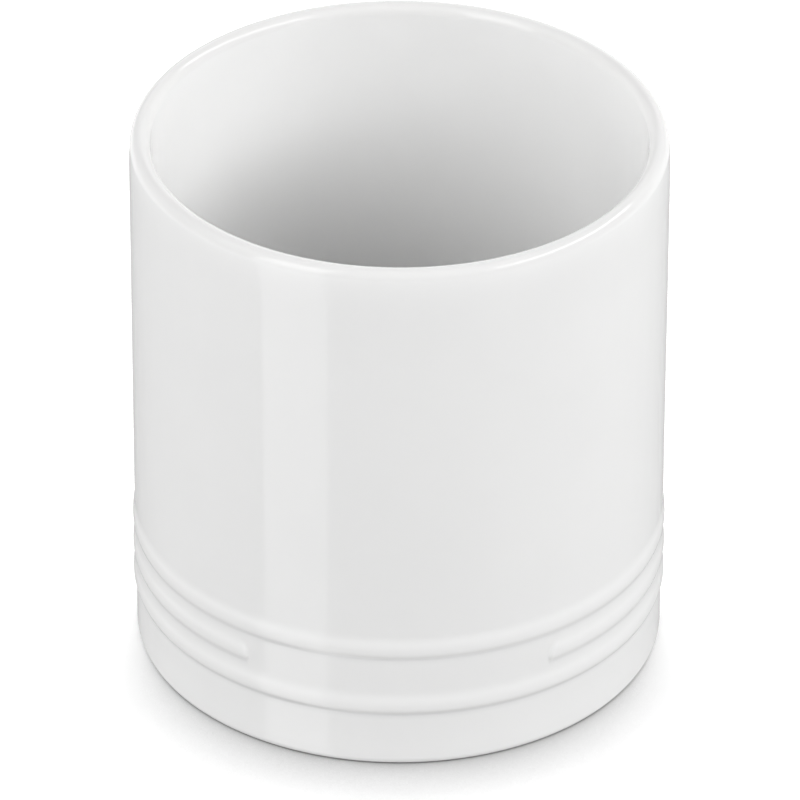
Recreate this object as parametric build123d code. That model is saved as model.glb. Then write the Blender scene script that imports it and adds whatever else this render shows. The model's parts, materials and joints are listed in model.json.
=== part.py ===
from build123d import *
import math
import os

os.makedirs("parts", exist_ok=True)

# A straight-sided stoneware crock for kitchen utensils: a fired clay body with a bare foot
# ring, one coat of glaze over everything that shows, and a wiped disc of glaze underneath.
# Millimetres, +Z up, the front towards -Y, the origin at the middle of the base.

# Overall sizes, measured over the glaze
outer_diameter = 120.0
height = 128.8
wall = 5.0
floor_thickness = 5.5
floor_fillet = 8.0

# Thickness of the glaze, on the sides and underneath
glaze = 0.4

# The foot: the plain zone below the rings, and the bare ring that the crock stands on
foot_setback = 0.2
foot_edge = 2.0
foot_ring_width = 4.2
recess_depth = 2.0
glaze_stop_angle = 46.0
underside_margin = 1.5
underside_edge = 0.25

# The rings: each flares out downwards and ends in a short step back to the wall, whose
# middle is the groove line
ring_count = 3
ring_pitch = 7.45
lowest_groove_height = 13.9
ring_rise = 0.4
flare_height = 5.0
step_height = 2.0

# The plain panel at the front, where the middle ring stops short with a ramp at each end,
# and the depth by which that ring is rooted in the wall
panel_angle = 67.2
ring_end_ramp = 0.9
ring_root = 0.05

# Radii that follow from the sizes
outer_radius = outer_diameter / 2
inner_radius = outer_radius - wall
foot_radius = outer_radius - foot_setback
ring_radius = outer_radius + ring_rise
lip_radius = wall / 2
lip_height = height - lip_radius
floor_height = recess_depth + floor_thickness
edge_centre = (foot_radius - foot_edge, foot_edge - glaze)
land_inner_radius = edge_centre[0] - foot_ring_width
recess_bend = recess_depth / 2
recess_radius = land_inner_radius - 2 * recess_bend

# The middle ring is the one that the panel interrupts; the lowest one is always whole
middle_ring = ring_count // 2
whole_rings = [ring for ring in range(ring_count) if ring == 0 or ring != middle_ring]


def line(start, end):
    """A straight stretch of an outline, from one (radius, height) point to another."""
    return Line((start[0], start[1]), (end[0], end[1]))


def arc(centre, radius, first, last):
    """A round stretch of an outline, between two angles in degrees about its centre."""
    angles = (first, (first + last) / 2, last)
    points = [
        (centre[0] + radius * math.cos(math.radians(a)), centre[1] + radius * math.sin(math.radians(a)))
        for a in angles
    ]
    return ThreePointArc(*points)


def s_bend(low, high, inset):
    """Two equal arcs that carry an upright outline from one radius to another, going up.

    The arc at the wider end bulges outwards and the other one is hollow, so an inset makes
    the first tighter and the second wider, and both keep their centres.
    """
    rise = high[1] - low[1]
    shift = abs(high[0] - low[0])
    turn = 2 * math.degrees(math.atan2(shift, rise))
    bend = rise / 2 / math.sin(math.radians(turn))
    if high[0] > low[0]:
        hollow = arc((low[0] + bend, low[1]), bend + inset, 180, 180 - turn)
        bulge = arc((high[0] - bend, high[1]), bend - inset, -turn, 0)
        return [hollow, bulge]
    bulge = arc((low[0] - bend, low[1]), bend - inset, 0, turn)
    hollow = arc((high[0] + bend, high[1]), bend + inset, 180 + turn, 180)
    return [bulge, hollow]


def ring_heights(ring):
    """Where a ring's step starts, where it is widest, and where its flare meets the wall."""
    groove = lowest_groove_height + ring * ring_pitch
    widest = groove + step_height / 2
    return groove - step_height / 2, widest, widest + flare_height


def banded_side(inset):
    """The outside from the top of the foot's rounding to the start of the lip."""
    edges = []
    top = edge_centre[1]
    radius = foot_radius
    for ring in whole_rings:
        step_low, widest, flare_top = ring_heights(ring)
        edges.append(line((radius - inset, top), (radius - inset, step_low)))
        edges += s_bend((radius, step_low), (ring_radius, widest), inset)
        edges += s_bend((ring_radius, widest), (outer_radius, flare_top), inset)
        top = flare_top
        radius = outer_radius
    edges.append(line((radius - inset, top), (radius - inset, lip_height)))
    return edges


def lip_and_inside(inset):
    """The outline over the full-round lip, down the inner wall and along the floor."""
    lip_centre = (outer_radius - lip_radius, lip_height)
    fillet_centre = (inner_radius - floor_fillet, floor_height + floor_fillet)
    return [
        arc(lip_centre, lip_radius - inset, 0, 180),
        line((inner_radius + inset, lip_height), (inner_radius + inset, fillet_centre[1])),
        arc(fillet_centre, floor_fillet + inset, 0, -90),
        line((fillet_centre[0], floor_height - inset), (0, floor_height - inset)),
    ]


def turned(edges):
    """The solid that a closed outline of (radius, height) edges makes round the Z axis."""
    return revolve(Plane.XZ * make_face(edges), Axis.Z, 360)


def clay_solid():
    """The fired clay alone: the glazed outline set in by the glaze, and the bare foot ring."""
    edges = banded_side(glaze) + lip_and_inside(glaze)
    edges += [
        line((0, floor_height - glaze), (0, recess_depth)),
        line((0, recess_depth), (recess_radius, recess_depth)),
        arc((recess_radius, recess_bend), recess_bend, 90, 0),
        arc((land_inner_radius, recess_bend), recess_bend, 180, 270),
        line((land_inner_radius, 0), (edge_centre[0], 0)),
        arc(edge_centre, foot_edge - glaze, -90, 0),
    ]
    return turned(edges)


def glazed_solid():
    """Everything inside the glaze's surface, down to where the glaze stops on the foot."""
    stop_turn = math.radians(glaze_stop_angle)
    stop_radius = edge_centre[0] + foot_edge * math.cos(stop_turn)
    stop_height = edge_centre[1] - foot_edge * math.sin(stop_turn)
    mid_floor = recess_depth + floor_thickness / 2
    edges = [arc(edge_centre, foot_edge, -glaze_stop_angle, 0)]
    edges += banded_side(0) + lip_and_inside(0)
    edges += [
        line((0, floor_height), (0, mid_floor)),
        line((0, mid_floor), (recess_radius, mid_floor)),
        line((recess_radius, mid_floor), edge_centre),
        line(edge_centre, (stop_radius, stop_height)),
    ]
    return turned(edges)


def panel_wedge(inset):
    """The upright wedge at the front in which the middle ring is missing.

    Its two sides cross the wall where the panel ends, and lean away from it, so that the
    ring's ends ramp down to the panel. In the clay they are set back by the glaze.
    """
    half = math.radians(panel_angle / 2) + inset / outer_radius
    lean = half + math.atan2(ring_end_ramp, ring_rise)
    near = (outer_radius - inset) * Vector(math.sin(half), -math.cos(half))
    side = Vector(math.sin(lean), -math.cos(lean))
    outer = near + 2 * wall * side
    inner = near - 2 * wall * side
    plan = Polyline(
        (inner.X, inner.Y),
        (outer.X, outer.Y),
        (outer.X, -outer_diameter),
        (-outer.X, -outer_diameter),
        (-outer.X, outer.Y),
        (-inner.X, inner.Y),
        close=True,
    )
    return extrude(make_face(plan), height)


def broken_ring(inset):
    """The middle ring, rooted in the wall and cut away across the panel."""
    step_low, widest, flare_top = ring_heights(middle_ring)
    root = outer_radius - ring_root
    back = outer_radius - lip_radius
    edges = s_bend((root, step_low), (ring_radius, widest), inset)
    edges += s_bend((ring_radius, widest), (root, flare_top), inset)
    edges += [
        line((root - inset, flare_top), (back, flare_top)),
        line((back, flare_top), (back, step_low)),
        line((back, step_low), (root - inset, step_low)),
    ]
    return turned(edges) - panel_wedge(inset)


clay_body = clay_solid()
glazed_body = glazed_solid()
if middle_ring > 0:
    clay_body += broken_ring(glaze)
    glazed_body += broken_ring(0)

# The glaze is what lies between the glazed surface and the clay
glaze_coat = glazed_body - clay_body

# The glaze inside the foot ring: a disc brushed on to the underside of the floor
underside_radius = recess_radius - underside_margin
underside_glaze = Pos(0, 0, recess_depth) * Cylinder(
    underside_radius, glaze, align=(Align.CENTER, Align.CENTER, Align.MAX)
)
underside_glaze = fillet(underside_glaze.edges().sort_by(Axis.Z)[0], underside_edge)

export_step(clay_body, "parts/clay_body.step")
export_step(glaze_coat, "parts/glaze_coat.step")
export_step(underside_glaze, "parts/underside_glaze.step")

capacity = math.pi * inner_radius**2 * (height - floor_height) / 1e6
print(f"capacity to the brim, about {capacity:.2f} litres")
print(f"clay {clay_body.volume / 1000:.1f} cm3, glaze {glaze_coat.volume / 1000:.1f} cm3")
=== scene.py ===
# %% [markdown]
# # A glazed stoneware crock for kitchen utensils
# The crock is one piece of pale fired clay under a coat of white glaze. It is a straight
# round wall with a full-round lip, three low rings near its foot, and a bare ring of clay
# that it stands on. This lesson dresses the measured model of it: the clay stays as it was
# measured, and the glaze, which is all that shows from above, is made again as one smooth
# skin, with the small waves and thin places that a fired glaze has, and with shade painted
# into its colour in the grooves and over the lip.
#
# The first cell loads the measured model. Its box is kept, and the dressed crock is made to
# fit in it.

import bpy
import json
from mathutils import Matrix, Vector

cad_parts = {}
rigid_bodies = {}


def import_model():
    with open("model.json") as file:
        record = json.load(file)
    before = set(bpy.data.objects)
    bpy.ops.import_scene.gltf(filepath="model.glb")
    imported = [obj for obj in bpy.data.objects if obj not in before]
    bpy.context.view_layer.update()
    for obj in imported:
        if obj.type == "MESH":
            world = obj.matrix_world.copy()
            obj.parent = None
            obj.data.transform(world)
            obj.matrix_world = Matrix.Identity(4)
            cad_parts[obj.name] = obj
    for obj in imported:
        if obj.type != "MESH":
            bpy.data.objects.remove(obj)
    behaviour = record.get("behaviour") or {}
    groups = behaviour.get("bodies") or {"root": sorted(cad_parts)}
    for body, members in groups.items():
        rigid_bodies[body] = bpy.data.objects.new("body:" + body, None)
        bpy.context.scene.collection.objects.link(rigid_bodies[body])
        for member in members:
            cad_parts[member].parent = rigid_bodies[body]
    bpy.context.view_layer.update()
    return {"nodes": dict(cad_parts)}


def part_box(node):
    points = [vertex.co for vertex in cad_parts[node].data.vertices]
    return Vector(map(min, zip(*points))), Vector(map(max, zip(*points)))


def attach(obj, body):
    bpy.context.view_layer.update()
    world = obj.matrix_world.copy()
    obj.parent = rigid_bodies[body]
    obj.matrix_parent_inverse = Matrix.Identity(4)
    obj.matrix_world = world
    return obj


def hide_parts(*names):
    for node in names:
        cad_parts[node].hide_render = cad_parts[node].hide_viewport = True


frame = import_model()
print("measured nodes:", sorted(frame["nodes"]))

# %% [markdown]
# Blender's bpy makes the things and its mathutils places the camera. Numpy works out whole
# surfaces at once, math does the single numbers, and json writes the sizes at the end.

# %% Modules
import json
import math

import bpy
import numpy as np
from mathutils import Matrix, Vector

# %% [markdown]
# ## Sizes
# What the measured model can say, it says: the height, the radius over the rings and the
# thickness of the glaze come from its boxes. The rest are the potter's own sizes, given in
# millimetres and turned into metres by one factor, and angles in degrees.

# %% Sizes from the measured model
mm = 0.001
glaze_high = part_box("glaze_coat")[1]
clay_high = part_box("clay_body")[1]
disc_low, disc_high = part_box("underside_glaze")
height = glaze_high.z
ring_radius = glaze_high.x
glaze = glaze_high.z - clay_high.z
print(f"height {height / mm:.1f} mm, radius over the rings {ring_radius / mm:.1f} mm")
print(f"glaze {glaze / mm:.2f} mm thick")

# %% Sizes of the wall, the lip and the floor
ring_rise = 0.4 * mm
outer_radius = ring_radius - ring_rise
wall = 5.0 * mm
lip_radius = wall / 2
lip_height = height - lip_radius
inner_radius = outer_radius - wall
floor_height = 7.5 * mm
floor_fillet = 8.0 * mm
print(f"wall from {inner_radius / mm:.1f} to {outer_radius / mm:.1f} mm from the axis")

# %% Sizes of the foot and the rings
foot_setback = 0.2 * mm
foot_radius = outer_radius - foot_setback
foot_edge = 2.0 * mm
edge_centre = (foot_radius - foot_edge, foot_edge - glaze)
glaze_stop_angle = -46.0
lowest_groove = 13.9 * mm
ring_pitch = 7.45 * mm
groove_heights = [lowest_groove + ring_pitch * ring for ring in range(3)]
step_height = 2.0 * mm
flare_height = 5.0 * mm
panel_angle = 67.2
half_panel = math.radians(panel_angle / 2)
ring_end_ramp = math.radians(0.86)
ramp_growth = 3.0
print("grooves in mm:", [round(groove / mm, 2) for groove in groove_heights])
print(f"panel {panel_angle:.1f} degrees wide")

# %% [markdown]
# ## The shape of the rings
# Each ring swells out of the wall as it goes down and then steps back in under itself. Both
# the long flare and the short step are S-bends: two equal curves that meet half way, so
# that the glaze never turns a sharp corner. The middle ring stops short of the front and
# leaves a plain panel there. Each of its two ends is a ramp, short at the groove and longer
# further up the flare.

# %% S-bends and rings as functions
def s_bend(share):
    """Rises from 0 to 1: twice the square of the share up to one half, and the same curve
    upside down from there on."""
    share = np.clip(share, 0.0, 1.0)
    return np.where(share < 0.5, 2 * share**2, 1 - 2 * (1 - share) ** 2)


def ring_swell(heights, groove):
    """How far one ring stands out of the wall at each height: an S-bend up through the
    step, whose middle is the groove, times an S-bend back down through the flare."""
    widest = groove + step_height / 2
    step = s_bend((heights - groove) / step_height + 0.5)
    flare = s_bend((widest + flare_height - heights) / flare_height)
    return ring_rise * step * flare


def panel_mask(azimuths, heights, widest):
    """0 across the plain panel at the front and 1 elsewhere, with an S-bend between that
    gets longer in step with the height over the ring's widest place."""
    away = np.abs(azimuths) - half_panel
    up = np.clip((heights - widest) / flare_height, 0.0, 1.0)
    return s_bend(away / (ring_end_ramp * (1 + ramp_growth * up)))


def wall_relief(azimuths, heights):
    """The outside's departure from a straight wall, for whole grids of azimuths, which are
    0 at the front, and heights: the foot's set-back and the three rings."""
    lowest, middle, highest = groove_heights
    relief = ring_swell(heights, lowest) + ring_swell(heights, highest)
    mask = panel_mask(azimuths, heights, middle + step_height / 2)
    relief = relief + ring_swell(heights, middle) * mask
    below = s_bend((lowest + step_height / 2 - heights) / step_height)
    return relief - foot_setback * below


back_relief = wall_relief(math.pi, np.linspace(0.0, height, 500)) / mm
print(f"relief at the back from {back_relief.min():.2f} to {back_relief.max():.2f} mm")

# %% [markdown]
# ## The outline
# The glaze's outline starts where it was wiped off the foot, goes up the wall, over the lip,
# down inside and along the floor to the middle. Along each stretch, straight or round, the
# points are evenly spaced, and they lie closer together where the outline bends.

# %% Stretches of an outline
rows_along = {
    "foot's edge": 10,
    "foot": 9,
    "rings": 104,
    "wall": 24,
    "lip": 32,
    "inner wall": 24,
    "fillet": 14,
    "floor": 12,
}


def straight(start, end, rows):
    """Points from one (radius, height) to another, evenly spaced, without the last."""
    shares = np.linspace(0.0, 1.0, max(rows, 1), endpoint=False)[:, None]
    return np.array(start) * (1 - shares) + np.array(end) * shares


def bend(centre, radius, first, last, rows):
    """Points on a circle about a (radius, height) centre, between two angles in degrees,
    without the last."""
    angles = np.radians(np.linspace(first, last, max(rows, 1), endpoint=False))
    return np.array(centre) + radius * np.stack([np.cos(angles), np.sin(angles)], axis=1)


def outline(inset, finely):
    """The glaze's surface, or the clay's an inset below it, as (radius, height) points from
    the foot to near the middle of the floor. Finely scales the number of points."""
    rings_top = groove_heights[-1] + step_height / 2 + flare_height
    rings_foot = groove_heights[0] - step_height
    side = outer_radius - inset
    inside = inner_radius + inset
    floor = floor_height - inset
    lip_centre = (outer_radius - lip_radius, lip_height)
    fillet_centre = (inner_radius - floor_fillet, floor_height + floor_fillet)
    rows = {stretch: int(count * finely) for stretch, count in rows_along.items()}
    return np.vstack([
        bend(edge_centre, foot_edge - inset, glaze_stop_angle, 0, rows["foot's edge"]),
        straight((side, edge_centre[1]), (side, rings_foot), rows["foot"]),
        straight((side, rings_foot), (side, rings_top), rows["rings"]),
        straight((side, rings_top), (side, lip_height), rows["wall"]),
        bend(lip_centre, lip_radius - inset, 0, 180, rows["lip"]),
        straight((inside, lip_height), (inside, fillet_centre[1]), rows["inner wall"]),
        bend(fillet_centre, floor_fillet + inset, 0, -90, rows["fillet"]),
        straight((fillet_centre[0], floor), (0.0, floor), rows["floor"]),
    ])


def wiped_edge(rows):
    """The round edge where the glaze was wiped off the foot: a half circle from the clay's
    surface to the glaze's, that bulges on along the foot's rounding."""
    stop = math.radians(glaze_stop_angle)
    out = np.array([math.cos(stop), math.sin(stop)])
    along = np.array([math.sin(stop), -math.cos(stop)])
    middle = np.array(edge_centre) + (foot_edge - glaze / 2) * out
    turns = np.radians(np.linspace(180, 0, rows + 2))[1:-1, None]
    return middle + glaze / 2 * (np.cos(turns) * out + np.sin(turns) * along)


print("points from the foot to the middle:", len(outline(0.0, 1.0)))

# %% [markdown]
# ## A closed skin from rows of points
# Every turned piece here is a grid: the points of its outline one way, and the azimuths
# round the crock the other. The grid is closed round the crock and closed on itself at its
# edge, and where the outline meets the axis a fan of triangles runs to one point, so that
# no seam or hole is left. Faces that follow the outline in order all point outwards.

# %% Columns round the crock
column_step = 1.5


def azimuth_columns():
    """Azimuths all round, a step apart, and closer ones over each end of the middle ring:
    close across the ramp at the groove, and less close on to the end of the longest ramp."""
    even = np.radians(np.arange(-180.0, 180.0, column_step))
    over_ramp = np.linspace(-0.3, 1.3, 17)
    beyond = np.linspace(1.5, 1.5 + ramp_growth, 12)
    ends = half_panel + np.concatenate([over_ramp, beyond]) * ring_end_ramp
    return np.unique(np.concatenate([even, ends, -ends]))


columns = azimuth_columns()
print("columns round the crock:", len(columns))


# %% The skin
def closed_skin(name, radii, heights, azimuths, gap, poles):
    """A mesh from grids of radii and heights, whose rows follow a closed outline. A point
    lies to the right by its radius times the sine of its azimuth, and towards the front by
    the cosine. After the row numbered gap, the outline runs to the axis at the first pole's
    height and comes back from the second's."""
    row_count, column_count = radii.shape
    grid = np.stack([radii * np.sin(azimuths), -radii * np.cos(azimuths), heights], axis=2)
    ends = np.array([[0.0, 0.0, poles[0]], [0.0, 0.0, poles[1]]])
    places = np.concatenate([grid.reshape(-1, 3), ends])
    number = np.arange(radii.size).reshape(radii.shape)
    following = np.roll(number, -1, axis=1)
    low = np.delete(number, gap, axis=0)
    low_next = np.delete(following, gap, axis=0)
    high = np.delete(np.roll(number, -1, axis=0), gap, axis=0)
    high_next = np.delete(np.roll(following, -1, axis=0), gap, axis=0)
    quads = np.stack([low, low_next, high_next, high], axis=2).reshape(-1, 4)
    after = (gap + 1) % row_count
    first_pole = np.full(column_count, radii.size)
    into = np.stack([number[gap], following[gap], first_pole], axis=1)
    out_of = np.stack([first_pole + 1, following[after], number[after]], axis=1)
    faces = quads.tolist() + into.tolist() + out_of.tolist()
    mesh = bpy.data.meshes.new(name)
    mesh.from_pydata(places, [], faces)
    mesh.polygons.foreach_set("use_smooth", np.ones(len(faces), bool))
    mesh.update()
    piece = bpy.data.objects.new(name, mesh)
    bpy.context.scene.collection.objects.link(piece)
    triangles = 2 * len(quads) + 2 * column_count
    print(f"{name}: {len(places)} points, {triangles} triangles")
    return piece


# %% [markdown]
# ## The coat of glaze
# The glaze is a skin with two faces. Its inner face lies on the clay, and its outer face is
# the measured outline with three small things that come from the firing. Melted glaze
# levels itself, but not quite, so the wall keeps slow waves a few hundredths of a
# millimetre deep. It runs down off the lip while it is soft, so both sides of the wall lean
# towards each other a little near the top, the outside over a short way and the inside over
# a longer one. And it runs off the corners at the middle ring's ends, which is what makes
# their ramps longer further up. The waves and the lean only ever take glaze away, and the
# ramps stay lower than the ring, so the crock stays inside its measured box.

# %% Slow waves in the glaze
wave_depth = 0.03 * mm
wave_length = 38 * mm
wave_kinds = ((5, 1.0, 0.0), (3, -0.7, 1.0), (11, 0.4, 2.5))
waves_below_lip = 15 * mm
waves_above_foot = 10 * mm


def slow_waves(azimuths, heights):
    """The sum of crossing sine waves, shifted so that it lies between -1 and 0. A kind of
    wave goes round the crock a whole number of times, climbs at its own rate and starts at
    its own angle."""
    up = 2 * math.pi * heights / wave_length
    waves = [np.sin(times * azimuths + climb * up + start) for times, climb, start in wave_kinds]
    return (sum(waves) - len(waves)) / (2 * len(waves))


waves_half_way = wave_depth * slow_waves(columns, height / 2) / mm
print(f"waves half way up from {waves_half_way.min():.3f} to {waves_half_way.max():.3f} mm")

# %% The lean below the lip
lean_outside = 0.45 * mm
reach_outside = 9 * mm
lean_inside = 0.30 * mm
reach_inside = 25 * mm


def lip_lean(radii, heights):
    """How far the sides lean towards the middle of the wall: the square of the share of the
    last stretch below the top, fading to nothing on the crown of the lip."""
    outwards = np.clip((radii - outer_radius + lip_radius) / lip_radius, -1.0, 1.0)
    depth = np.where(outwards > 0, lean_outside, lean_inside)
    reach = np.where(outwards > 0, reach_outside, reach_inside)
    share = np.clip(1 - (height - heights) / reach, 0.0, 1.0)
    return depth * share**2 * outwards


print(f"lean up to {lean_outside / mm:.2f} mm outside and {lean_inside / mm:.2f} mm inside")

# %% Both faces of the glaze
clay_side_rows = 0.3
wiped_rows = 5

outer_points = outline(0.0, 1.0)
inner_points = outline(glaze, clay_side_rows)[::-1]
edge_points = wiped_edge(wiped_rows)
points = np.vstack([outer_points, inner_points, edge_points])
gap_row = len(outer_points) - 1
radii = np.repeat(points[:, :1], len(columns), axis=1)
heights = np.repeat(points[:, 1:], len(columns), axis=1)
on_side = np.isclose(radii, outer_radius) | np.isclose(radii, outer_radius - glaze)
relief = wall_relief(columns[None, :], heights)
radii = radii + np.where(on_side, relief, 0.0)
from_lip = s_bend((lip_height - heights) / waves_below_lip)
from_foot = s_bend((heights - edge_centre[1]) / waves_above_foot)
waves = wave_depth * slow_waves(columns[None, :], heights) * (from_lip * from_foot)
radii = radii + np.where(np.isclose(points[:, :1], outer_radius), waves, 0.0)
radii[: len(outer_points)] -= lip_lean(outer_points[:, :1], outer_points[:, 1:])
crock_glaze = closed_skin(
    "crock_glaze", radii, heights, columns, gap_row, (floor_height, floor_height - glaze)
)

# %% [markdown]
# The finish needs to know where to paint shade and where the glaze thins. The bend of the
# surface says so: the second difference of the relief is positive in a hollow, where shade
# is painted, and negative on a crest, where the glaze thins. From a deep groove the painted
# shade runs on down for a few rows of points, less with each, as the shade under the step.
# Over the lip, one round crest, shade is painted too, deepest on its inner shoulder. The
# result is kept on the mesh as one number for each point.

# %% The bend of the surface
shortest_run = 0.0001 * mm


def bend_of_surface(relief, heights):
    """The second difference of the relief over the height, in millimetres for each square
    millimetre: positive in a groove, negative on a crest, and 0 where the rows run level."""
    rise = np.gradient(relief, axis=0)
    run = np.gradient(heights, axis=0)
    slope = np.divide(rise, run, out=np.zeros_like(rise), where=np.abs(run) > shortest_run)
    change = np.gradient(slope, axis=0)
    return np.divide(change, run, out=np.zeros_like(rise), where=np.abs(run) > shortest_run) * mm


bending = np.where(on_side, bend_of_surface(relief, heights), 0.0)
print(f"bend of the sides from {bending.min():.2f} to {bending.max():.2f} per mm")

# %% Painted shade in grooves and over the lip, and thin glaze on crests
shade_rows_down = 5
deep_groove_shade = 0.08
# The two amounts below also set painted shade over the lip, deepest on its inner shoulder. On the
# rings' crests the first one limits the thin glaze.
crest_thinning_and_lip_shade = 0.26
shoulder_painted_shade = 0.14
lip_start = lip_height - 0.5 * mm
lip_blend = 1.5 * mm
shoulder_blend = 1.2 * mm

# Painted shade: from a deep groove the shade runs on down the rows below it, less with each.
shares = 1 - np.arange(1, shade_rows_down + 1) / (shade_rows_down + 1)
runs = [share * np.roll(bending, -step, axis=0) for step, share in enumerate(shares, 1)]
shade_below_groove = np.max(runs, axis=0)
painted_shade_and_thinning = np.where(shade_below_groove > deep_groove_shade, np.maximum(bending, shade_below_groove), bending)
# Painted shade over the lip, deepest on its inner shoulder.
over_lip = s_bend((heights - lip_start) / lip_blend)
inwards = s_bend((outer_radius - lip_radius - radii) / shoulder_blend)
lip_painted_shade = over_lip * (crest_thinning_and_lip_shade + shoulder_painted_shade * inwards)
painted_shade_and_thinning = np.clip(painted_shade_and_thinning, -crest_thinning_and_lip_shade, 1.0) - lip_painted_shade
values = np.concatenate([painted_shade_and_thinning.ravel(), [0.0, 0.0]]).astype(np.float32)
# This number is painted shade where it is positive, and thin glaze or painted shade over the lip
# where it is negative.
attribute = crock_glaze.data.attributes.new("painted_shade_and_thinning", "FLOAT", "POINT")
attribute.data.foreach_set("value", values)
print(f"pooling from {values.min():.2f} to {values.max():.2f}")

# %% [markdown]
# ## The glaze underneath
# The underside inside the foot ring was brushed with glaze by hand. The disc is thickest in
# the middle, rounds off at its edge, and that edge wanders a little, as a brushed edge does.

# %% The brushed disc
disc_radius = disc_high.x
disc_bulge = 0.12 * mm
disc_round = (disc_high.z - disc_low.z - disc_bulge) / 2
disc_rows = 16
edge_rows = 8
inmost_share = 0.02
edge_wander = 0.25 * mm
wander_kinds = ((0.5, 4, 0.4), (0.3, 9, 0.0), (0.2, 17, 0.0))


def brushed_disc():
    """The disc's outline, from near its middle underneath out to a round edge and back over
    the top. The under side is lowest in the middle and rises with the square of the radius."""
    reach = disc_radius - edge_wander - disc_round
    share = np.linspace(inmost_share, 1.0, disc_rows)
    under = np.stack([reach * share, disc_low.z + disc_bulge * share**2], axis=1)
    edge = bend((reach, disc_high.z - disc_round), disc_round, -90, 90, edge_rows)
    top = straight((reach, disc_high.z), (0.0, disc_high.z), disc_rows)
    return np.vstack([under[:-1], edge, top])


def wandering(azimuths):
    """The sum of sine waves round the disc, between -1 and 1. A kind of wave has a height,
    goes round a whole number of times and starts at its own angle."""
    return sum(size * np.sin(times * azimuths + start) for size, times, start in wander_kinds)


disc_points = brushed_disc()
stretch = 1 + edge_wander / disc_radius * wandering(columns[None, :])
disc_radii = disc_points[:, :1] * stretch
disc_heights = np.repeat(disc_points[:, 1:], len(columns), axis=1)
last_row = len(disc_points) - 1
poles = (disc_high.z, disc_low.z)
underside_glaze = closed_skin(
    "brushed_underside", disc_radii, disc_heights, columns, last_row, poles
)

# %% [markdown]
# ## Writing a finish as sums
# A finish is a net of nodes. It reads best as arithmetic, so one small class wraps a socket
# and lets Python's operators add the Math nodes, and one builder adds every node from its
# type, its settings and what its sockets get.

# %% A socket that can be added and multiplied
def find_socket(sockets, name):
    """The socket that is in use and has this identifier or name."""
    return next(s for s in sockets if s.enabled and name in (s.identifier, s.name))


class Signal:
    """One output socket of a node, for use in sums of numbers."""

    def __init__(self, builder, node, socket=None):
        self.builder = builder
        self.node = node
        self.socket = socket or next((s for s in node.outputs if s.enabled), None)

    def other(self, output):
        """Another output of the same node."""
        return Signal(self.builder, self.node, find_socket(self.node.outputs, output))

    def __add__(self, value):
        return self.builder.maths("ADD", self, value)

    def __sub__(self, value):
        return self.builder.maths("SUBTRACT", self, value)

    def __rsub__(self, value):
        return self.builder.maths("SUBTRACT", value, self)

    def __mul__(self, value):
        return self.builder.maths("MULTIPLY", self, value)

    def __abs__(self):
        return self.builder.maths("ABSOLUTE", self)

    __radd__ = __add__
    __rmul__ = __mul__


# %% A builder of nodes
class Builder:
    """Adds nodes to one material's or world's net."""

    def __init__(self, owner):
        owner.use_nodes = True
        self.tree = owner.node_tree
        self.tree.nodes.clear()

    def add(self, kind, settings=None, inputs=None):
        """A node of a type, with its settings made first and then its sockets, which are
        found by identifier or name and take a number, a colour or another signal."""
        node = self.tree.nodes.new(kind)
        for name, value in (settings or {}).items():
            setattr(node, name, value)
        for name, value in (inputs or {}).items():
            socket = find_socket(node.inputs, name)
            if isinstance(value, Signal):
                self.tree.links.new(value.socket, socket)
            else:
                socket.default_value = value
        return Signal(self, node)

    def maths(self, operation, *values):
        """A Math node on one, two or three numbers or signals."""
        named = zip(("Value", "Value_001", "Value_002"), values)
        return self.add("ShaderNodeMath", {"operation": operation}, dict(named))

    def blend(self, factor, first, second):
        """A colour between two, by a factor from 0 to 1."""
        mixed = self.add(
            "ShaderNodeMix",
            {"data_type": "RGBA"},
            {"Factor_Float": factor, "A_Color": first, "B_Color": second},
        )
        return mixed.other("Result")

    def layer(self, factor, under, over):
        """One surface over another, by a factor from 0 to 1."""
        sockets = {"Fac": factor, "Shader": under, "Shader_001": over}
        return self.add("ShaderNodeMixShader", {}, sockets)

    def limits(self, value, low, high):
        """0 below the first limit, 1 above the second, and a smooth step between them."""
        return self.add(
            "ShaderNodeMapRange",
            {"interpolation_type": "SMOOTHSTEP"},
            {"Value": value, "From Min": low, "From Max": high},
        )


# %% [markdown]
# ## The white glaze
# This is a thick opaque glaze: nearly white and glossy. Its colour also carries painted
# light and shade. It is painted a little darker low down than near the lip, as the shade
# near the table, and whiter again on the foot, as light thrown up from the table. In and
# just under a groove it is painted a touch deeper and cooler, as shade, and over the lip,
# most on its inner shoulder, painted shade lets a trace of the clay's colour through. Where
# it thins over a crest, the clay's colour comes through as well. Its gloss isn't even
# either. Very slow changes of colour, slightly rougher cloudy patches and a faint
# orange-peel surface keep it from looking like plastic.

# %% Colours and amounts in the glaze
# The colour at the lip and the colour low down are painted light and shade: the wall is painted
# darker towards the table and lighter towards the lip.
glaze_at_lip = (0.888, 0.888, 0.885, 1.0)
glaze_painted_shade_low_down = (0.812, 0.812, 0.809, 1.0)
# A grey for the cloudy patches, and for painted shade in and under the grooves.
cloud_grey_and_groove_shade = (0.74, 0.743, 0.745, 1.0)
# A warm grey for thin glaze on the crests, and for painted shade over the lip.
glaze_thin_and_lip_shade = (0.76, 0.757, 0.752, 1.0)
# Painted light on the foot: the glaze there is painted whiter, as light thrown up from the table.
painted_bounce_full = 0.02
painted_bounce_end = 0.11
painted_bounce_white = 0.35
cloud_start = 0.3
cloud_full = 0.7
cloud_colour = 0.12
# The limits and amounts below set the painted shade in and under the grooves, and the thin glaze
# and painted shade over the lip.
groove_shade_start = 0.05
groove_shade_full = 0.5
thin_and_lip_shade_full = 0.5
groove_shade_amount = 0.4
thin_and_lip_shade_amount = 0.75
glaze_rough = 0.05
cloud_rough = 0.04
thin_rough = 0.03
print(f"glaze from {glaze_painted_shade_low_down[0]:.2f} low down to {glaze_at_lip[0]:.2f} at the lip")

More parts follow.
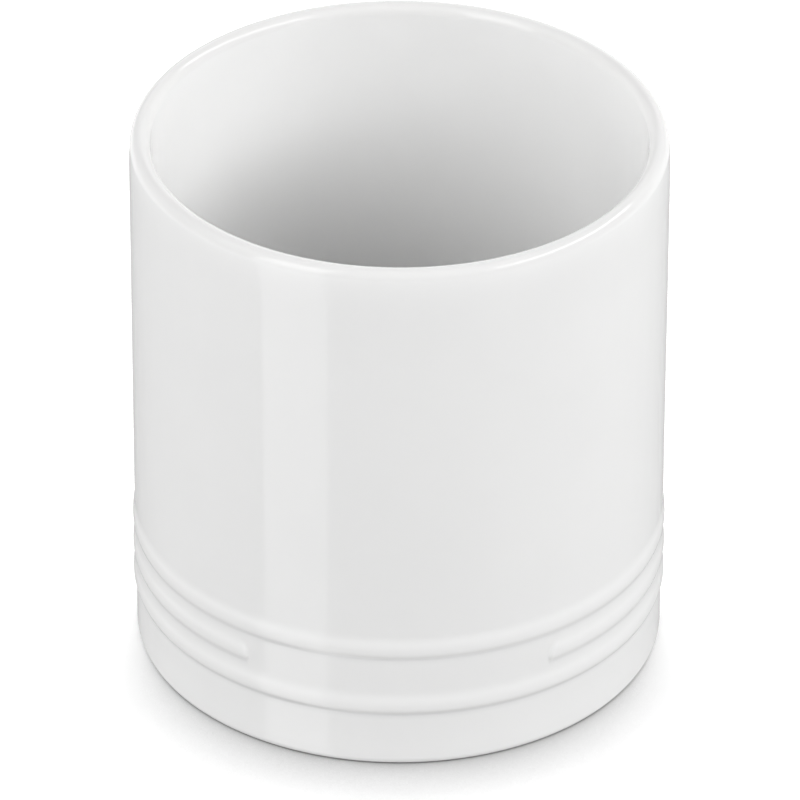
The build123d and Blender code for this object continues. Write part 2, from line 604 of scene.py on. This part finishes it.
# %% What varies over the glaze
white = bpy.data.materials.new("white_glaze_finish")
make = Builder(white)
place = make.add("ShaderNodeTexCoord").other("Object")
shade_thinning_signal = make.add("ShaderNodeAttribute", {"attribute_name": "painted_shade_and_thinning"}).other("Fac")
cloud_look = {"Vector": place, "Scale": 28.0, "Detail": 3.0, "Roughness": 0.5}
clouds = make.add("ShaderNodeTexNoise", {}, cloud_look)
peel_look = {"Vector": place, "Scale": 420.0, "Detail": 1.0, "Roughness": 0.4}
peel = make.add("ShaderNodeTexNoise", {}, peel_look)
cloudy = make.limits(clouds, cloud_start, cloud_full)
# Painted shade in and under the grooves.
groove_shade = make.limits(shade_thinning_signal, groove_shade_start, groove_shade_full)
# Thin glaze on the crests, and painted shade over the lip.
thin_and_lip_shade = make.limits(0.0 - shade_thinning_signal, 0.0, thin_and_lip_shade_full)
up = make.add("ShaderNodeSeparateXYZ", {}, {"Vector": place}).other("Z") * (1 / height)
# Painted light: 1 on the foot, fading to 0 above it.
painted_bounce = 1 - make.limits(up, painted_bounce_full, painted_bounce_end)

# %% Glaze finish
# Painted shade: darker low down, lighter towards the lip.
colour = make.blend(up, glaze_painted_shade_low_down, glaze_at_lip)
# Painted light thrown up from the table whitens the foot.
colour = make.blend(painted_bounce * painted_bounce_white, colour, glaze_at_lip)
colour = make.blend(cloudy * cloud_colour, colour, cloud_grey_and_groove_shade)
# Painted shade in and under the grooves.
colour = make.blend(groove_shade * groove_shade_amount, colour, cloud_grey_and_groove_shade)
# Thin glaze on the crests, and painted shade over the lip.
colour = make.blend(thin_and_lip_shade * thin_and_lip_shade_amount, colour, glaze_thin_and_lip_shade)
rough = clouds * cloud_rough + thin_and_lip_shade * thin_rough + glaze_rough
surface = make.add("ShaderNodeBump", {}, {"Strength": 0.03, "Distance": 0.0002, "Height": peel})
shader = make.add(
    "ShaderNodeBsdfPrincipled",
    {},
    {"Base Color": colour, "Roughness": rough, "IOR": 1.5, "Normal": surface},
)
make.add("ShaderNodeOutputMaterial", {}, {"Surface": shader})
crock_glaze.data.materials.append(white)
underside_glaze.data.materials.append(white)
print("glaze finish:", white.name)

# %% [markdown]
# ## The bare clay
# The foot ring is stoneware with no glaze: buff, matt, with darker grains in it, and
# rubbed flat on a wheel after the firing, which leaves faint rings about the axis.

# %% Colours and scales in the clay
clay_pale = (0.78, 0.73, 0.65, 1.0)
clay_warm = (0.66, 0.58, 0.47, 1.0)
grain_dark = (0.30, 0.24, 0.19, 1.0)
grain_colour = 0.7
warm_start = 0.35
warm_full = 0.7
mottle_scale = 160.0
sand_scale = 2600.0
speck_scale = 700.0
speck_size_scale = 500.0
rubbing_scale = 14000.0
widest_speck = 0.42
speck_edge = 0.06
sand_height = 0.8
rubbed_height = 0.15
speck_depth = 0.3
clay_rough = 0.8
sand_rough = 0.1

# %% Clay finish
bare = bpy.data.materials.new("bare_stoneware_finish")
make = Builder(bare)
place = make.add("ShaderNodeTexCoord").other("Object")
apart = make.add("ShaderNodeSeparateXYZ", {}, {"Vector": place})
across = apart.other("X")
along = apart.other("Y")
from_axis = make.maths("SQRT", across * across + along * along)
mottle_look = {"Vector": place, "Scale": mottle_scale, "Detail": 5.0}
mottle = make.add("ShaderNodeTexNoise", {}, mottle_look)
sand = make.add("ShaderNodeTexNoise", {}, {"Vector": place, "Scale": sand_scale, "Detail": 3.0})
specks = make.add("ShaderNodeTexVoronoi", {}, {"Vector": place, "Scale": speck_scale})
speck_size = make.add("ShaderNodeTexNoise", {}, {"Vector": place, "Scale": speck_size_scale})
rubbed = make.maths("SINE", from_axis * rubbing_scale)
speck = make.limits(speck_size * widest_speck - specks, 0.0, speck_edge)
colour = make.blend(make.limits(mottle, warm_start, warm_full), clay_pale, clay_warm)
colour = make.blend(speck * grain_colour, colour, grain_dark)
rough = sand * sand_rough + clay_rough
bumps = sand * sand_height + rubbed * rubbed_height - speck * speck_depth
surface = make.add("ShaderNodeBump", {}, {"Strength": 0.5, "Distance": 0.0001, "Height": bumps})
shader = make.add(
    "ShaderNodeBsdfPrincipled",
    {},
    {"Base Color": colour, "Roughness": rough, "Normal": surface},
)
make.add("ShaderNodeOutputMaterial", {}, {"Surface": shader})
clay_body = frame["nodes"]["clay_body"]
clay_body.material_slots[0].material = bare
print("clay finish:", bare.name)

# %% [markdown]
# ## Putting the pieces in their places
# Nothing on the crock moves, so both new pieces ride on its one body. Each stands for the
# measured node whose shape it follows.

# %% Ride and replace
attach(crock_glaze, "root")
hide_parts("glaze_coat")
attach(underside_glaze, "root")
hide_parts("underside_glaze")
print("pieces on the root body:", crock_glaze.name, underside_glaze.name)

# %% [markdown]
# ## The table top
# The crock stands on a plain white table top. For the camera it is bright enough to read as
# white wherever nothing shades it. For the light that it throws back on to the crock it is
# an ordinary pale surface. Its shadow is painted shade for the camera, cast by no lamp: it
# is the share of a broad light, from high up and some way behind the crock, that the crock
# hides from each spot, so the shadow gathers in front of the foot. From the crock's sides
# backwards that painted shadow is a thinner one, by the table's own place front to back.
#
# The sheet has a hole that the foot ring covers, which lets light up to the underside, and
# from below the camera sees through all of the sheet.

# %% The sheet
table_reach = 1.6
hole_margin = 0.3 * mm
table_hole = edge_centre[0] - hole_margin
corner_step = 3.0

turns = np.radians(np.arange(0.0, 360.0, corner_step))
circle = np.stack([np.cos(turns), np.sin(turns), 0 * turns], axis=1)
rim = np.arange(len(turns))
edge = rim + len(turns)
faces = np.stack([rim, edge, np.roll(edge, -1), np.roll(rim, -1)], axis=1)
places = np.concatenate([table_hole * circle, table_reach * circle])
table_mesh = bpy.data.meshes.new("table_top")
table_mesh.from_pydata(places, [], faces.tolist())
table_top = bpy.data.objects.new("table_top", table_mesh)
bpy.context.scene.collection.objects.link(table_top)
table_top.visible_glossy = False
print(f"table top: {len(faces)} faces round a hole of radius {table_hole / mm:.1f} mm")

# %% Levels of the table
table_pale = 0.50
table_seen = 1.69
# Painted shadow: how far it reaches, how far back it tilts, and where it thins towards the back.
shade_reach = 70 * mm
painted_shadow_tilt = math.radians(35.0)
shade_full = -38 * mm
shade_thin = 6 * mm
shade_behind = 0.65


def even(level):
    """A grey of one level, as a colour."""
    return (level, level, level, 1.0)


# %% Table finish
pale = bpy.data.materials.new("table_top_finish")
make = Builder(pale)
camera_ray = make.add("ShaderNodeLightPath").other("Is Camera Ray")
thrown = make.add("ShaderNodeBsdfDiffuse", {}, {"Color": even(table_pale)})
seen = make.add("ShaderNodeBsdfDiffuse", {}, {"Color": even(table_seen)})
painted_shadow_black = make.add("ShaderNodeBsdfDiffuse", {}, {"Color": even(0.0)})
clear = make.add("ShaderNodeBsdfTransparent")
# Painted shadow, cast by no lamp: the camera sees the table darkened by the share of a broad
# light, tilted back from straight up, that the crock hides within reach.
painted_shadow_way = make.add(
    "ShaderNodeCombineXYZ", {}, {"X": 0.0, "Y": math.sin(painted_shadow_tilt), "Z": math.cos(painted_shadow_tilt)}
)
lit_share = make.add(
    "ShaderNodeAmbientOcclusion", {"samples": 16}, {"Distance": shade_reach, "Normal": painted_shadow_way}
).other("AO")
place = make.add("ShaderNodeTexCoord").other("Object")
depth = make.add("ShaderNodeSeparateXYZ", {}, {"Vector": place}).other("Y")
# The painted shadow is thinner from the crock's sides backwards.
density = 1 - make.limits(depth, shade_full, shade_thin) * (1 - shade_behind)
lit_share = make.maths("POWER", lit_share, density)
below = make.add("ShaderNodeNewGeometry").other("Backfacing")
# Painted shadow: black where all of that share is hidden.
seen = make.layer(lit_share, painted_shadow_black, seen)
sheet = make.layer(camera_ray, thrown, seen)
sheet = make.layer(below * camera_ray, sheet, clear)
make.add("ShaderNodeOutputMaterial", {}, {"Surface": sheet})
table_mesh.materials.append(pale)
print("table finish:", pale.name)

# %% [markdown]
# ## The light
# The studio is a ring of large soft screens at the height of a window, with only a faint
# ceiling over it, which is why the inside of the crock darkens as it goes down. The left
# and right screens aren't even over their height, so each is painted as two patches: the
# left one with a dimmer skirt, the right one with a dimmer head. The screens are painted on
# the world by direction, so that they light the crock from where they are.
#
# Gloss needs its own levels. Of the big screens only the back one shows in the glaze, and
# dimly. Four other things show clearly: a box at the left front, a long bright tube to the
# right, a tall white card under the box and a dim one behind the crock. They give the thin
# bright arcs on the lip, the broad stripe down the left of the wall and the lip's pale far
# edge. The white card reaches from just over the horizon to straight below. The far part of
# the table is paler in gloss than the near part, which picks out the rings' flares.
#
# A last light comes from below. The table hides it from everything but the underside, which
# it reaches through the hole.

# %% Screens by direction
def screen(azimuth, half_width, elevation, half_height, matt, gloss):
    """One patch of light: its middle and half its size in degrees, the azimuth counted from
    the front towards the right, and its levels in matt light and in gloss."""
    return {
        "azimuth": azimuth,
        "half_width": half_width,
        "elevation": elevation,
        "half_height": half_height,
        "matt": matt,
        "gloss": gloss,
    }


screens = {
    "front": screen(0.0, 30.0, 30.0, 15.0, 1.63, 0.0),
    "left": screen(-70.0, 40.0, 37.5, 7.5, 5.3, 0.0),
    "left skirt": screen(-70.0, 40.0, 15.0, 15.0, 1.0, 0.0),
    "right": screen(70.0, 40.0, 22.5, 7.5, 5.1, 0.0),
    "right head": screen(70.0, 40.0, 37.5, 7.5, 2.5, 0.0),
    "back": screen(180.0, 70.0, 15.0, 15.0, 2.0, 0.5),
    "ceiling": screen(0.0, 185.0, 81.0, 10.0, 0.4, 0.0),
    "left box": screen(-45.5, 15.0, 30.0, 21.0, 0.0, 2.5),
    "right tube": screen(84.0, 41.0, 36.0, 4.0, 0.0, 6.3),
    "white card": screen(-45.5, 14.8, -41.0, 49.0, 0.0, 0.95),
    "back card": screen(155.0, 31.0, 18.0, 22.0, 0.0, 0.5),
}
edge_softness = 0.8
sky_in_gloss = 0.10
floor_in_gloss = 0.56
far_floor_in_gloss = 1.2
light_from_below = 0.8
horizon_softness = 3.0
far_floor_start = -30.0
far_floor_full = -20.0
below_start = 20.0
below_full = 30.0
print("screens:", ", ".join(screens))

# %% The white studio
world = bpy.data.worlds.new("white_studio")
bpy.context.scene.world = world
make = Builder(world)
direction = make.add("ShaderNodeTexCoord").other("Generated")
apart = make.add("ShaderNodeSeparateXYZ", {}, {"Vector": direction})
in_degrees = 180 / math.pi
azimuth = make.maths("ARCTAN2", apart.other("X"), 0.0 - apart.other("Y")) * in_degrees
elevation = make.maths("ARCSINE", apart.other("Z")) * in_degrees


def inside(patch):
    """1 inside a screen's width and height, 0 outside it, with soft edges between: a smooth
    step on the distance inside its upright edges times one on that inside its level ones."""
    away = make.maths("WRAP", azimuth - patch["azimuth"], 180.0, -180.0)
    beside = patch["half_width"] - abs(away)
    above = patch["half_height"] - abs(elevation - patch["elevation"])
    soft = edge_softness
    return make.limits(beside, -soft, soft) * make.limits(above, -soft, soft)


above_table = make.limits(elevation, -horizon_softness, horizon_softness)
matt_light = make.limits(0.0 - elevation, below_start, below_full) * light_from_below
far_floor = make.limits(elevation, far_floor_start, far_floor_full)
gloss_light = far_floor * (far_floor_in_gloss - floor_in_gloss) + floor_in_gloss
gloss_light = gloss_light + above_table * (sky_in_gloss - far_floor_in_gloss)
for patch in screens.values():
    shape = inside(patch)
    matt_light = matt_light + shape * patch["matt"]
    gloss_light = gloss_light + shape * patch["gloss"]

# %% What each kind of ray sees
rays = make.add("ShaderNodeLightPath")
camera_ray = rays.other("Is Camera Ray")
glossy_ray = rays.other("Is Glossy Ray")
plain = make.maths("MAXIMUM", camera_ray, rays.other("Is Transmission Ray"))
light = matt_light * (1 - glossy_ray) + gloss_light * glossy_ray
strength = light * (1 - plain) + plain
glow = make.add("ShaderNodeBackground", {}, {"Color": even(1.0), "Strength": strength})
make.add("ShaderNodeOutputWorld", {}, {"Surface": glow})
world.cycles.sampling_method = "MANUAL"
world.cycles.sample_map_resolution = 1024
bpy.context.scene.view_settings.view_transform = "Standard"
print("nodes in the studio:", len(world.node_tree.nodes))

# %% [markdown]
# ## The camera
# The camera looks down on the front from a good way off, with a long lens, so that the wall
# hardly tapers. Its place, lens and tilt were found from the rim, the wall and the foot as
# they stand in the picture.

# %% Camera
picture_width = 800
sensor_width = 36.0
focal_pixels = 8579.7
middle_pixel = 399.1
camera_back = 1.62793
camera_up = 1.10293
look_down = 0.5705
camera_roll = 0.0026

camera_data = bpy.data.cameras.new("camera")
camera = bpy.data.objects.new("camera", camera_data)
bpy.context.scene.collection.objects.link(camera)
bpy.context.scene.camera = camera
camera_data.sensor_width = sensor_width
camera_data.lens = focal_pixels / picture_width * sensor_width
camera_data.shift_x = (picture_width / 2 - middle_pixel) / picture_width
pitch = Matrix.Rotation(math.pi / 2 - look_down, 4, "X")
roll = Matrix.Rotation(camera_roll, 4, "Z")
station = Vector((0, -camera_back, camera_up))
camera.matrix_world = Matrix.Translation(station) @ (pitch @ roll)
camera_data.clip_start = 0.05
camera_data.clip_end = 20.0
print(f"lens {camera_data.lens:.0f} mm, {math.hypot(camera_back, camera_up):.2f} m from the foot")
